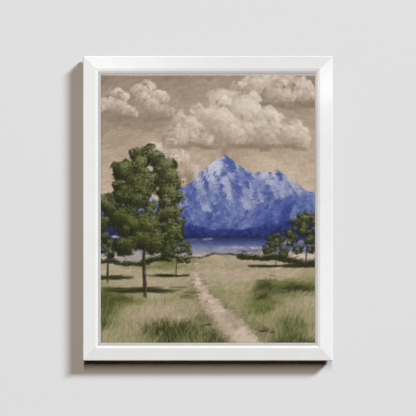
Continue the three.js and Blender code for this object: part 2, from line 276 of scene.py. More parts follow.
world = bpy.data.worlds.new("studio")
bpy.context.scene.world = world
world.use_nodes = True
air = world.node_tree
seen = add(air, "ShaderNodeLightPath").outputs["Is Camera Ray"]
strength = add(air, "ShaderNodeMapRange", {0: seen, 3: 0.018, 4: 0.80}).outputs[0]
colour = add(air, "ShaderNodeMix", {0: seen, 6: "#EFA75E", 7: "#F2F1EF"}, data_type="RGBA").outputs[2]
fill(air, air.nodes["Background"], {"Color": colour, "Strength": strength})

# %% [markdown]
# ## White lacquer
# The frame is sprayed with white satin lacquer over primed wood, which gives the eye a smooth, even white
# with a soft sheen. The spray leaves a fine orange peel of dimples a little over a millimetre across, and the
# coat is a trace thicker and whiter in some places than in others. The narrow sight edge beside the picture
# is the same lacquer in a pale grey, which is painted shade: it stands in for the shade of the recess there.


# %% White lacquer and the grey sight edge
def make_lacquer(name, tone, shade, patch=35 * mm, dimple=1.2 * mm, depth=0.03 * mm):
    material, tree, shader, place = start_material(name, Roughness=0.42, Specular_IOR_Level=0.4)
    patches = add(tree, "ShaderNodeTexNoise", {"Vector": place, "Scale": 1 / patch, "Detail": 2.0}).outputs[0]
    share = add(tree, "ShaderNodeMapRange", {0: patches, 1: 0.35, 2: 0.7}).outputs[0]
    colour = add(tree, "ShaderNodeMix", {0: share, 6: tone, 7: shade}, data_type="RGBA").outputs[2]
    peel = add(tree, "ShaderNodeTexNoise", {"Vector": place, "Scale": 1 / dimple, "Detail": 1.0}).outputs[0]
    bump = add(tree, "ShaderNodeBump", {"Height": peel, "Distance": depth}).outputs[0]
    fill(tree, shader, {"Base Color": colour, "Normal": bump})
    return material


white_lacquer = make_lacquer("sprayed_white_satin_lacquer", "#EAEAE9", "#E7E7E5")
# The pale grey of the sight edge is painted shade of the recess beside the picture.
recess_shade_grey_lacquer = make_lacquer("pale_grey_lacquer_painted_shade", "#C1BFBC", "#BDBBB8")
print("lacquers:", white_lacquer.name, recess_shade_grey_lacquer.name)

# %% [markdown]
# ## Bare wood
# The back of the frame is obeche, a pale, even wood, and the stretcher bars are pine, which is yellower and
# more strongly marked. Both are planed and left bare, so they look dry and dull. Growth rings show as lines
# that run along the piece, 3 to 4 mm apart, with fine fibres between them. The rings are cylinders round an
# axis beside the piece, so the same pattern also gives the ends their arcs. Each direction of grain gets a
# material of its own, because the upright pieces have their grain upright. Blender's Wave texture repeats
# every 0.314 m at a scale of 1, so 0.314 divided by the spacing of the rings is its scale.

# %% Sizes in the wood
wave_repeat = 0.314
grain_stretch, heart_distance = 14, 90 * mm
fibre, fibre_depth = 0.6 * mm, 0.05 * mm
print("rings 3 mm apart have a scale of", round(wave_repeat / (3 * mm)))


# %% Bare wood
def make_wood(name, along, early, late, ring_spacing):
    material, tree, shader, place = start_material(name, Roughness=0.72)
    stretch = [1 / grain_stretch if axis == along else 1.0 for axis in "XYZ"]
    heart = [0.0 if axis == along else heart_distance for axis in "XYZ"]
    grain = add(tree, "ShaderNodeMapping", {"Vector": place, "Location": heart, "Scale": stretch}).outputs[0]
    rings = add(tree, "ShaderNodeTexWave", {
        "Vector": grain, "Scale": wave_repeat / ring_spacing,
        "Distortion": 3.5, "Detail": 2.0, "Detail Scale": 0.3,
    }, wave_type="RINGS", rings_direction=along, wave_profile="SAW").outputs["Fac"]
    fibres = add(tree, "ShaderNodeTexNoise", {"Vector": grain, "Scale": 1 / fibre, "Detail": 3.0}).outputs[0]
    ring_share = add(tree, "ShaderNodeMapRange", {0: rings, 1: 0.35, 2: 1.0, 4: 0.75}).outputs[0]
    ringed = add(tree, "ShaderNodeMix", {0: ring_share, 6: early, 7: late}, data_type="RGBA").outputs[2]
    fibre_share = add(tree, "ShaderNodeMapRange", {0: fibres, 1: 0.4, 2: 0.75, 4: 0.35}).outputs[0]
    colour = add(tree, "ShaderNodeMix", {0: fibre_share, 6: ringed, 7: late}, data_type="RGBA").outputs[2]
    bump = add(tree, "ShaderNodeBump", {"Height": fibres, "Distance": fibre_depth}).outputs[0]
    fill(tree, shader, {"Base Color": colour, "Normal": bump})
    return material


frame_wood, bar_wood = {}, {}
for way in "XZ":
    end = "_along_" + way.lower()
    frame_wood[way] = make_wood("planed_obeche" + end, way, "#E3D2B0", "#CDB489", 3.8 * mm)
    bar_wood[way] = make_wood("planed_pine" + end, way, "#E6CB98", "#C0935A", 3.0 * mm)
print("woods:", [m.name for m in [*frame_wood.values(), *bar_wood.values()]])

# %% [markdown]
# ## Rails
# A frame rail is one length of moulding: a flat face, a chamfer, and a sight edge that slopes gently towards
# the picture, with a rabbet behind that holds the canvas. It starts as a block as thick as the front lip. The
# part outside the rabbet is extruded back from it, the face is cut along its two lines, and two of its corner
# lines are moved back. Then the arrises are rounded, and both ends are sawn at 45 degrees, as a framer would.

# %% The moulding's sizes, in millimetres
rail_width, rail_depth = 33.0, 25.0
face_width, chamfer_end, chamfer_drop = 23.4, 27.6, 1.25
sight_edge_drop, recess_depth, rabbet_inset = 1.85, 3.8, 27.0
joint_gap, joint_bevel = 0.06, 0.12
frame_size = (cad_box[1] - cad_box[0]) / mm
face_y, middle_z = cad_box[0].y / mm, centre.z / mm
# Each arris runs along X: its place in the section, its radius and its number of segments.
arrises = (
    (0, 0, 1.5, 6), (0, face_width, 0.5, 3), (chamfer_drop, chamfer_end, 0.4, 3),
    (sight_edge_drop, rail_width, 1.2, 5), (rail_depth, 0, 0.8, 4), (rail_depth, rabbet_inset, 0.25, 2),
)
print("outer size in mm:", [round(n, 1) for n in frame_size])


# %% Make a rail
def bisect(point, normal, clear=False):
    point = [n * mm for n in point]
    bpy.ops.mesh.bisect(plane_co=point, plane_no=normal, clear_outer=clear, use_fill=clear)


def bevel(radius, segments):
    bpy.ops.mesh.bevel(offset=radius * mm, offset_type="OFFSET", segments=segments, affect="EDGES")


def move_back(y, z, by):
    """Moves a corner line of the section backwards."""
    pick("VERT", lambda p: near(p.y, y) and near(p.z, z))
    bpy.ops.transform.translate(value=(0, by * mm, 0))


def coat_faces(piece, material, test):
    pick("FACE", test)
    piece.active_material_index = piece.data.materials.find(material.name)
    bpy.ops.object.material_slot_assign()


def make_rail(name, length, wood):
    rail = start_block(name, (-length / 2, 0, 0), (length / 2, recess_depth, rail_width))
    pick("FACE", lambda p: near(p.y, recess_depth))
    bisect((0, 0, rabbet_inset), (0, 0, 1))
    pick("FACE", lambda p: near(p.y, recess_depth) and p.z < rabbet_inset + 0.1)
    back = (0, (rail_depth - recess_depth) * mm, 0)
    bpy.ops.mesh.extrude_region_move(TRANSFORM_OT_translate={"value": back})
    for line in (face_width, chamfer_end):
        pick("FACE", lambda p: near(p.y, 0))
        bisect((0, 0, line), (0, 0, 1))
    move_back(0, chamfer_end, chamfer_drop)
    move_back(0, rail_width, sight_edge_drop)
    for y, z, radius, segments in arrises:
        pick("EDGE", lambda p: near(p.y, y) and near(p.z, z))
        bevel(radius, segments)
    for end in (-1, 1):
        bpy.ops.mesh.select_all(action="SELECT")
        bisect((end * (length / 2 - joint_gap), 0, 0), (end, 0, 1), clear=True)
    pick("EDGE", lambda p: near(abs(p.x) + p.z, length / 2 - joint_gap) and p.y < recess_depth - 0.8)
    bevel(joint_bevel, 2)
    for material in (white_lacquer, recess_shade_grey_lacquer, wood):
        rail.data.materials.append(material)
    # The sight edge takes the pale grey lacquer: painted shade of the recess beside the picture.
    coat_faces(rail, recess_shade_grey_lacquer, lambda p: p.z > chamfer_end + 0.1)
    in_rabbet = lambda p: p.y > recess_depth - 0.05 and p.z > rabbet_inset - 0.3
    coat_faces(rail, wood, lambda p: in_rabbet(p) or near(p.y, rail_depth))
    bpy.ops.object.mode_set(mode="OBJECT")
    return rail


sides = {"bottom": 0.0, "left": math.pi / 2, "top": math.pi, "right": -math.pi / 2}
rails = {}
for side, turn in sides.items():
    upright = side in ("left", "right")
    length, across = (frame_size.z, frame_size.x) if upright else (frame_size.x, frame_size.z)
    rail = make_rail("moulding_" + side, length, frame_wood["X"])
    half = across / 2 * mm
    place = Vector((centre.x - math.sin(turn) * half, cad_box[0].y, centre.z - math.cos(turn) * half))
    rail.matrix_world = Matrix.Translation(place) @ Matrix.Rotation(turn, 4, "Y")
    settle(rail)
    if upright:
        rail.material_slots[2].material = frame_wood["Z"]
    rails[side] = rail
print({side: len(rail.data.polygons) for side, rail in rails.items()}, "faces")

# %% [markdown]
# The nails and screws sit in the wood, so each needs its hole. A copy of the metal piece, grown a little, is
# the drill: a Boolean modifier takes it out of the rail. The rails throw no light on the wall and picture,
# because the shadow right beside them would be too light.


# %% Holes for nails and screws
def drill(rail, node, play=0.08):
    bit = nodes[node].copy()
    bit.data = bit.data.copy()
    bit.parent = None
    bpy.context.scene.collection.objects.link(bit)
    alone(bit)
    bpy.ops.object.mode_set(mode="EDIT")
    bpy.ops.mesh.select_all(action="SELECT")
    bpy.ops.mesh.remove_doubles(threshold=0.01 * mm)
    bpy.ops.transform.shrink_fatten(value=play * mm)
    bpy.ops.object.mode_set(mode="OBJECT")
    finish_with(rail, "BOOLEAN", operation="DIFFERENCE", solver="EXACT", object=bit)
    bpy.data.objects.remove(bit)


def smooth(piece, degrees):
    alone(piece)
    bpy.ops.object.shade_smooth_by_angle(angle=math.radians(degrees))


for side, rail in rails.items():
    metal = [n for n in nodes if n.startswith((f"corner_nail_{side}", f"clip_screw_{side}"))]
    if side == "top":
        metal += ["hanger_nail_1", "hanger_nail_2"]
    for node in metal:
        drill(rail, node)
    smooth(rail, 35)
    finish_with(rail, "WEIGHTED_NORMAL", keep_sharp=True)
    rail.visible_diffuse = False
    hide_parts("rail_" + side)
    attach(rail, "root")
    print(rail.name, len(metal), "holes,", len(rail.data.polygons), "faces")

# %% [markdown]
# ## Stretcher bars
# The four bars are pine, and the CAD model has their section, their joints and the slots for the staples.
# Only their inner edges and a narrow strip of their backs show, so they keep their shape and get their grain.

# %% Pine on the stretcher bars
for side in sides:
    grain = "Z" if side in ("left", "right") else "X"
    nodes["stretcher_" + side].material_slots[0].material = bar_wood[grain]
print("bars:", [n for n in nodes if n.startswith("stretcher_")])

# %% [markdown]
# ## The cloth
# The canvas is cotton duck, a plain weave of thick threads. It is cut about 49 mm larger than the picture all
# round, wrapped over the bars' edges, folded at the corners and stapled at the back. The model starts as the
# front, a grid. Its border is extruded backwards and then inwards, as the cloth goes, and Solidify gives it
# its half millimetre.

# %% The cloth's sizes, in millimetres
cloth_width, cloth_height, cloth_thickness, flap_width = 406.4, 508.0, 0.5, 31.0
front_depth, back_depth, wrap_radius = 4.1, 21.7, 1.0
front_y, back_y = face_y + front_depth, face_y + back_depth


# %% Wrap the cloth round the bars
def start_grid(name, width, height, columns, rows, z=middle_z):
    """An upright grid on the front of the cloth, left in edit mode. Sizes in millimetres."""
    bpy.ops.object.select_all(action="DESELECT")
    bpy.ops.mesh.primitive_grid_add(
        x_subdivisions=columns, y_subdivisions=rows, size=mm, rotation=(math.pi / 2, 0, 0))
    grid = bpy.context.object
    grid.name = name
    grid.scale = (width, height, 1)
    grid.location = (centre.x, front_y * mm, z * mm)
    bpy.ops.object.transform_apply(location=True, rotation=True, scale=True)
    bpy.ops.object.mode_set(mode="EDIT")
    return grid


def inside_edge(p):
    """How far a point lies inside the upright and the level edges of the front."""
    return cloth_width / 2 - abs(p.x), cloth_height / 2 - abs(p.z - middle_z)


cloth = start_grid("cotton_duck_cloth", cloth_width, cloth_height, columns=34, rows=42)
bpy.ops.mesh.select_all(action="SELECT")
bpy.ops.mesh.region_to_loop()
around_edges = (0, (back_depth - front_depth) * mm, 0)
bpy.ops.mesh.extrude_region_move(TRANSFORM_OT_translate={"value": around_edges})
bpy.ops.mesh.extrude_region_move(TRANSFORM_OT_translate={"value": (0, 0, 0)})
inwards = (1 - 2 * flap_width / cloth_width, 1, 1 - 2 * flap_width / cloth_height)
bpy.ops.transform.resize(value=inwards, center_override=centre)
for rim_y in (front_y, back_y):
    pick("EDGE", lambda p: near(p.y, rim_y) and any(near(d, 0) for d in inside_edge(p)))
    bevel(wrap_radius, 3)
bpy.ops.object.mode_set(mode="OBJECT")
print("wrapped cloth:", len(cloth.data.polygons), "faces")

# %% [markdown]
# At each corner the flap of the top or bottom edge lies over the flap of the side, along a diagonal fold. The
# diagonal edges of the mesh are doubled by a narrow bevel, and the upper layer is lifted by one thickness of
# cloth. Between the staples the cloth pulls into shallow ripples, and its cut edge wavers as scissors leave
# it.

# %% Double the diagonal folds
def past_diagonal(p):
    """How far a point is from the diagonal through its corner, positive on the top or bottom flap."""
    beside_upright, beside_level = inside_edge(p)
    return beside_upright - beside_level


alone(cloth)
bpy.ops.object.mode_set(mode="EDIT")
on_flap = lambda p: p.y > back_y - close_enough
pick("FACE", on_flap)
bpy.ops.mesh.subdivide(number_cuts=5)
doubled = pick("EDGE", lambda p: on_flap(p) and abs(past_diagonal(p)) < 0.05)
bevel(cloth_thickness / 2, 1)
bpy.ops.object.mode_set(mode="OBJECT")
print("edges on the four diagonals:", doubled)

# %% Fold the corners and pull the cloth
fold_reach, fold_lift, ripple_height = 24.0, 0.55 * mm, 0.16 * mm
for vertex in cloth.data.vertices:
    p = vertex.co / mm
    if not on_flap(p):
        continue
    beside, inner = past_diagonal(p), min(inside_edge(p))
    if 0 < beside < fold_reach and inner > 0.5:
        vertex.co.y += fold_lift * (1 - (beside / fold_reach) ** 2) * min(1, inner / 3)
    along = p.x if beside > 0 else p.z
    ripple = math.sin(along / 6.1) + 0.6 * math.sin(along / 3.7 + 2)
    vertex.co.y += ripple_height * ripple * min(1, inner / 8)
    if near(inner, flap_width):
        waver = 0.7 * math.sin(along / 17.0) + 0.4 * math.sin(along / 5.3 + 1)
        if beside > 0:
            vertex.co.z += math.copysign(waver, p.z - middle_z) * mm
        else:
            vertex.co.x += math.copysign(waver, p.x) * mm
finish_with(cloth, "SOLIDIFY", thickness=cloth_thickness * mm, offset=-1.0)
smooth(cloth, 40)
print("folded cloth:", len(cloth.data.polygons), "faces")

# %% [markdown]
# Cotton duck is dull and a little woolly. Its threads are about 0.6 mm apart. That is far too fine for these
# views, so the weave is drawn at 2 mm, with painted shade darkening the hollows between the threads, and
# patches of uneven colour.

# %% Cotton duck
thread_spacing, thread_depth, slub_size = 2.0 * mm, 0.12 * mm, 6 * mm
cotton, tree, shader, place = start_material(
    "unbleached_cotton_duck", Roughness=0.92, Sheen_Weight=0.15, Specular_IOR_Level=0.2)
threads = []
for way in "XZ":
    threads.append(add(tree, "ShaderNodeTexWave", {
        "Vector": place, "Scale": wave_repeat / thread_spacing,
        "Distortion": 0.6, "Detail": 1.0, "Detail Scale": 2.0,
    }, bands_direction=way).outputs["Fac"])
weave = add(tree, "ShaderNodeMath", {0: threads[0], 1: threads[1]}, operation="MAXIMUM").outputs[0]
slub = add(tree, "ShaderNodeTexNoise", {"Vector": place, "Scale": 1 / slub_size, "Detail": 4.0}).outputs[0]
uneven = add(tree, "ShaderNodeMix", {0: slub, 6: "#D9CDB6", 7: "#E9E0CE"}, data_type="RGBA").outputs[2]
# The hollows between the threads are darkened in colour: painted shade.
hollow_shade = add(tree, "ShaderNodeMapRange", {0: weave, 1: 0.2, 2: 0.8, 3: 0.35, 4: 0.0}).outputs[0]
woven = add(tree, "ShaderNodeMix", {0: hollow_shade, 6: uneven, 7: "#B5A68B"}, data_type="RGBA").outputs[2]
bump = add(tree, "ShaderNodeBump", {"Height": weave, "Distance": thread_depth}).outputs[0]
fill(tree, shader, {"Base Color": woven, "Normal": bump})
cloth.data.materials.append(cotton)
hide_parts("canvas")
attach(cloth, "root")
print("threads drawn", round(thread_spacing / mm), "mm apart")

# %% [markdown]
# ## The painting
# The picture is a painted landscape: a beige sky with heaped clouds, a blue mountain over a lake, and an
# olive meadow with trees and a path. It is painted here as a painter would, with loaded brushes: wide ones
# first, then finer ones. The wet paint is kept as numbers, its colour and its thickness at every 0.8 mm. A
# place on the canvas is x to the right and h up from its middle, in millimetres.

# %% The painter's ground
touch = 0.8
half_width, half_height = 202.4, 253.2
across = np.arange(-half_width, half_width + touch, touch)
up = np.arange(-half_height, half_height + touch, touch)
all_x, all_h = np.meshgrid(across, up)
thickness = np.zeros(all_x.shape)
hand = np.random.default_rng(20)


def mixed(a, b, share):
    """Paint a with a share of paint b, from 0 to 1."""
    share = np.clip(share, 0, 1)
    return a + (b - a) * (share[..., None] if np.ndim(share) else share)


taupe, deep_taupe, umber = paint_colour("#9F8D7B"), paint_colour("#7E6E5E"), paint_colour("#382D22")
cream, warm_white, sand = paint_colour("#D3C0AB"), paint_colour("#E8DCCD"), paint_colour("#B5A18A")
snow, mist = paint_colour("#C6C9D8"), paint_colour("#A9ADC2")
haze, hill_blue = paint_colour("#8C94B4"), paint_colour("#5F6EA4")
cobalt, ultramarine, navy = paint_colour("#435193"), paint_colour("#2D3876"), paint_colour("#1C234C")
sage, grass, olive, dark_olive = [paint_colour(c) for c in ("#9B9973", "#767A40", "#4C5225", "#1F230F")]
print("ground of", thickness.shape, "touches")


# %% Random surfaces and skylines
def rolling(width, height):
    """A smooth random surface over the whole picture. Its humps have this size in millimetres."""
    x, h = (across + half_width) / width, (up + half_height) / height
    knots = hand.normal(size=(int(h[-1]) + 2, int(x[-1]) + 2))
    j, i = h.astype(int), x.astype(int)
    b, a = [f * f * (3 - 2 * f) for f in (h - j, x - i)]
    rows = knots[j] * (1 - b[:, None]) + knots[j + 1] * b[:, None]
    return rows[:, i] * (1 - a) + rows[:, i + 1] * a


def rough(width, height, octaves=4, fade=0.55):
    """The same, with smaller and smaller humps on the large ones."""
    return sum(fade ** n * rolling(width / 2 ** n, height / 2 ** n) for n in range(octaves))


def skyline(corners, jag, first_tooth=30):
    """A ridge through (x, h) corners past both edges, broken up into smaller and smaller teeth."""
    line = np.interp(across, *zip(*corners))
    for n in range(5):
        places = np.arange(-210, 211, first_tooth / 2 ** n)
        line = line + jag * 0.58 ** n * np.interp(across, places, hand.uniform(-1, 1, len(places)))
    return line


peaks = [(-210, 20), (-150, 44), (-96, 18), (-30, 56), (34, 98), (86, 60), (128, 74), (210, 22)]
far_line = skyline(peaks, 7)
middle_line = skyline([(-210, 12), (-120, -6), (-40, 2), (40, -14), (120, 16), (210, 34)], 4.5)
near_line = skyline([(-210, -34), (-100, -20), (0, -40), (90, -36), (210, -14)], 3)
water_line = -52.0
shore_line = -96 + 8 * np.sin(across / 60 + 1.2) + 3 * np.sin(across / 17) + 1.2 * np.sin(across / 6)
print("the peak is", round(float(far_line.max())), "mm above the picture's middle")

# %% [markdown]
# The plan gives each place its colour, and the flow gives the way that the brush goes there. The sky is
# darkest at the top. The mountain has lit and shaded planes: it is a surface of sharp ridges, lit from the
# right as the room is, with snow on the high planes that face the light.

# %% Plan the sky and the hills
height = (all_h + 20) / 270
plan = mixed(mixed(cream, sand, height * 3.2), taupe, height * 1.9 - 0.5)
plan = mixed(plan, deep_taupe, height * 1.5 - 0.75)
plan = mixed(plan, cream, 0.22 + rough(120, 46) * 0.30 * (1 - 0.5 * height))
flow = 0.14 + 0.22 * rolling(150, 90)


def planes(width, height, leaning):
    """How far each place of a rough hillside faces right, from -1 to 1. Its spurs lean as they run down."""
    ground = -sum(0.48 ** n * np.abs(rolling(width / 2 ** n, height / 2 ** n)) for n in range(4))
    for row in range(len(up)):
        ground[row] = np.interp(across + leaning * up[row], across, ground[row], period=2 * half_width)
    return np.clip(-np.gradient(ground, touch, axis=1) * width * 0.35, -1, 1)


far_planes = planes(52, 84, 0.35)
for line, top, foot, reach, lit, shaded, facing, contrast in (
        (far_line, haze, hill_blue, 95, mist, cobalt, far_planes, 0.85),
        (middle_line, hill_blue, cobalt, 46, haze, ultramarine, planes(34, 34, -0.3), 0.6),
        (near_line, ultramarine, navy, 26, cobalt, navy, planes(26, 16, 0.2), 0.6)):
    here = all_h < line
    tone = mixed(mixed(top, foot, (line - all_h) / reach), lit, contrast * facing)
    plan[here] = mixed(tone, shaded, -contrast * facing)[here]
    ridge = np.arctan(np.gradient(np.convolve(line, np.ones(25) / 25, "same"), touch))
    flow[here] = (1.2 * ridge - 0.5 * facing)[here]
snowy = np.clip((all_h - 34) / 40, 0, 1) * np.clip(2.2 * far_planes + 0.1, 0, 0.85) * (all_h < far_line)
plan = mixed(plan, snow, snowy * (all_h > middle_line))
print("hills cover", round(100 * float((all_h < far_line).mean())), "% down to the foot")

# %% [markdown]
# The lake mirrors the hills, so it is darkest at its far edge, and it pales towards the shore. The meadow is
# straw and grass, with tufts that grow larger and darker towards the viewer. The path winds up through it,
# and widens as it comes near.

# %% Plan the lake and the meadow
depth = (water_line - all_h) / 44
mirror = mixed(mixed(navy, hill_blue, depth * 2.0), mixed(sand, haze, 0.35), depth * 1.9 - 0.55)
glint = rough(60, 5, 3)
water = mixed(mixed(mirror, cream, (glint - 0.7) * 0.8), navy, (-glint - 0.8) * 0.5)
plan[all_h < water_line] = water[all_h < water_line]
flow[all_h < water_line] = 0.0

nearness = np.clip((-92 - all_h) / 160, 0, 1)
patch = rough(110, 26) * (1 - nearness) + rough(120, 70) * nearness
tuft = rough(26, 9) * (1 - nearness) + rough(30, 34) * nearness
ground = mixed(mixed(sage, sand, 0.75 + 0.3 * tuft), grass, 0.28 + 0.45 * patch)
shady = (patch - 0.35) * 0.8 + nearness ** 2 * (0.32 + 0.3 * tuft)
ground = mixed(ground, mixed(olive, dark_olive, 0.2 + 0.4 * tuft), shady)
middle_of_path = 26 + 60 * np.sin(all_h / 62 + 0.6) * (1 - 0.35 * nearness) + 36 * nearness
path = 1.6 - np.abs(all_x - middle_of_path) / (3.5 + 46 * nearness ** 1.3) * 1.5 + 0.25 * tuft
ground = mixed(ground, umber, np.clip(0.5 - np.abs(path - 0.15), 0, 1) * 0.8)
ground = mixed(ground, mixed(cream, taupe, 0.4 + 0.35 * tuft), path)
here = all_h < shore_line
plan[here] = ground[here]
flow[here] = (0.05 + 0.2 * tuft + 0.5 * nearness)[here]
print("mean of the plan, 0 to 255:", [round(float(c) * 255) for c in plan.mean((0, 1))])

# %% [markdown]
# A stroke is a band of wet paint. Each bristle leaves a streak of its own along it, and the ends are ragged.
# The paint it carries covers most of what lies under it, and piles up in ridges along its edges.


# %% A loaded brush
colours = plan.copy()


def brush(x, h, length, width, angle, colour, load=1.0, bend=0.0, cover=0.92):
    """Pulls a stroke centred on (x, h). The load is the paint's thickness, and cover how much it hides."""
    reach = 0.5 * math.hypot(length, width) + abs(bend) * width + 1
    left, right = np.searchsorted(across, (x - reach, x + reach))
    low, high = np.searchsorted(up, (h - reach, h + reach))
    if left >= right or low >= high:
        return
    dx, dh = across[None, left:right] - x, up[low:high, None] - h
    along = (dx * math.cos(angle) + dh * math.sin(angle)) / (length / 2)
    side = (dh * math.cos(angle) - dx * math.sin(angle)) / (width / 2) + bend * (along ** 2 - 0.4)
    comb = np.linspace(-1.2, 1.2, max(5, int(width * 0.8)))
    streak = np.interp(side, comb, hand.random(len(comb)))
    ragged = np.interp(side, comb, hand.random(len(comb)))
    edge = np.clip((1 - np.abs(side)) * width / 2 / (0.9 + 0.06 * width), 0, 1)
    ends = np.clip((1 - 0.35 * ragged - np.abs(along)) * length / 2 / (1.2 + 0.12 * length), 0, 1)
    wet = edge * ends * cover * (0.72 + 0.28 * streak)
    tone = colour * (1 + 0.07 * (streak[..., None] - 0.5))
    spot = (slice(low, high), slice(left, right))
    colours[spot] += (tone - colours[spot]) * wet[..., None]
    body = load * (0.30 + 0.5 * streak + 0.35 * side ** 2)
    thickness[spot] += (body - thickness[spot]) * wet


def at(field, x, h):
    """The value of the plan or the flow at a place."""
    j, i = int((h - up[0]) / touch), int((x - across[0]) / touch)
    return field[min(max(j, 0), len(up) - 1), min(max(i, 0), len(across) - 1)]


def lay_in(spacing, length, width, load, wander, region=lambda x, h: True):
    """Covers a region with strokes about spacing apart, from the top down."""
    strokes = 0
    for row in np.arange(half_height + spacing, -half_height - spacing, -spacing * 0.8):
        for column in np.arange(-half_width - spacing, half_width + spacing, spacing):
            x, h = column + hand.normal() * spacing * 0.33, row + hand.normal() * spacing * 0.33
            if region(x, h):
                size = hand.uniform(0.72, 1.22)
                turn = at(flow, x, h) + 0.17 * hand.normal()
                colour = at(plan, x, h) * (1 + wander * hand.normal())
                brush(x, h, length * size, width * size, turn, colour, load, bend=0.4 * hand.normal())
                strokes += 1
    return strokes


count = lay_in(18, length=48, width=16, load=0.5, wander=0.025)
count += lay_in(10, length=28, width=9, load=0.6, wander=0.025)
print("wide brushes:", count, "strokes")

# %% [markdown]
# A cloud's billow and a clump of leaves are painted alike: dabs that follow a round form, dark on its lower
# left and light on its upper right. Clouds come first, and then the hills and the meadow with finer brushes,
# over the clouds' feet.


# %% Clouds
def heap(x, h, radius, shade, light, dab, dabs, load=0.9, flat_foot=False, cover=0.9):
    for _ in range(dabs):
        turn, out = hand.uniform(0, 2 * math.pi), radius * math.sqrt(hand.random())
        dx, dh = out * math.cos(turn), out * math.sin(turn) * 0.85
        if not (flat_foot and dh < -0.45 * radius):
            lit = 0.46 + 0.52 * (0.6 * dx + 0.8 * dh) / radius + 0.07 * hand.normal()
            size = dab * hand.uniform(0.75, 1.2)
            way = turn + math.pi / 2 + 0.25 * hand.normal()
            tone = mixed(shade, light, lit)
            brush(x + dx, h + dh, size, size * 0.5, way, tone, load, bend=-0.5, cover=cover)


def cloud(x, h, width, height, billows):
    places = []
    for _ in range(billows):
        out, level = hand.uniform(-1, 1), hand.random() ** 0.8
        radius = width * hand.uniform(0.075, 0.14) * (1.1 - 0.45 * abs(out))
        places.append((level * (1 - out * out) ** 0.7, x + width / 2 * out, radius))
    for level, billow_x, radius in sorted(places, reverse=True):
        shade = mixed(deep_taupe, sand, 0.35 + 0.4 * level)
        light = mixed(cream, warm_white, 0.35 + 0.9 * level)
        heap(billow_x, h + height * level, radius, shade, light, dab=radius * 0.75, dabs=34, flat_foot=True,
             cover=0.72)
    for out in np.linspace(-0.95, 0.95, int(width / 9)):
        tone = mixed(deep_taupe, taupe, hand.random())
        base, length, lean = h - 4 + 3 * hand.normal(), hand.uniform(26, 44), 0.08 * hand.normal()
        brush(x + width / 2 * out, base, length, 9, lean, tone, load=0.5, cover=0.55)


# Each bank of clouds: x and h of its foot, its width and height, and its number of billows.
banks = (120, 196, 190, 46, 22), (-150, 172, 170, 60, 24), (52, 118, 250, 80, 46), (-90, 62, 150, 44, 26)
for bank in banks:
    cloud(*bank)
print("banks of clouds:", len(banks))

# %% Hills and meadow with finer brushes
on_far = lambda x, h: h < np.interp(x, across, far_line) - 1.5
on_shore = lambda x, h: h < np.interp(x, across, shore_line) + 1
on_hills = lambda x, h: on_far(x, h) and not on_shore(x, h)
count = lay_in(6.5, length=15, width=4.6, load=0.8, wander=0.03, region=on_far)
count += lay_in(4.2, length=9, width=3.0, load=0.8, wander=0.035, region=on_hills)
print("finer brushes:", count, "strokes")

# %% [markdown]
# The ragged strokes stick out over the mountain's skyline. So the sky is cut in along it, in short strokes
# that follow the ridge, each in the colour of the sky a little higher up. Strokes of mountain under it
# sharpen the edge.

# %% Cut in the skyline
for above, width, beyond in ((7.0, 6.5, 12.5), (3.0, 4.4, 8), (-0.8, 2.4, -2.5)):
    for x in np.arange(-half_width, half_width, 1.3):
        ridge_h, next_h = np.interp((x, x + 2), across, far_line)
        source = colours if above > 0 else plan
        lean, tone = math.atan((next_h - ridge_h) / 2), at(source, x, ridge_h + beyond)
        brush(x, ridge_h + above, 8, width, lean, tone, load=0.6, cover=1.0)
print("skyline from", round(float(far_line.min())), "to", round(float(far_line.max())), "mm")

# %% [markdown]
# A tree is a shadow on the ground, a trunk and a crown of clumps. Each clump starts dark, and the lights go
# on top, brighter on the clumps that the sun reaches. Small dark dabs between them keep the crown open.
# Bushes line the shore.


# %% Trees
upright_stroke = 1.57


def paint_crown(x, crown, spread, dab):
    dark, inner, outer = dark_olive * 0.85, mixed(dark_olive, olive, 0.3), mixed(dark_olive, olive, 0.4)
    for _, clump_x, clump_h, radius in crown:
        heap(clump_x, clump_h, 1.05 * radius, dark, inner, dab=1.3 * radius, dabs=9, load=0.7, cover=0.85)
        heap(clump_x, clump_h, 1.15 * radius, dark, outer, dab=1.2 * dab, dabs=22, load=0.8)
    for level, clump_x, clump_h, radius in sorted(crown, key=lambda clump: 0.5 * hand.random() - clump[0]):
        sunny = 0.30 + 0.5 * level + 0.6 * (clump_x - x) / spread
        shade = mixed(dark_olive, olive, 0.15 * sunny)
        light = mixed(mixed(olive, grass, 0.3 + sunny), sage, (sunny - 0.3) * 0.9)
        heap(clump_x, clump_h, radius, shade, light, dab, dabs=int(10 + 2.2 * radius ** 2 / dab), load=1.0)
        for _ in range(int(3 + radius * 1.1)):
            right, top = radius * hand.uniform(-0.3, 0.95), radius * hand.uniform(0.25, 0.9)
            lean, tone = hand.uniform(-0.8, 1.0), mixed(light, sage, 0.5 * hand.random())
            brush(clump_x + right, clump_h + top, dab * 0.9, dab * 0.5, lean, tone)
            left, under = radius * hand.uniform(-0.4, 1.1), radius * hand.uniform(0.5, 1.05)
            lean = hand.uniform(-0.8, 1.0)
            brush(clump_x - left, clump_h - under, dab, dab * 0.5, lean, dark_olive, load=0.9)


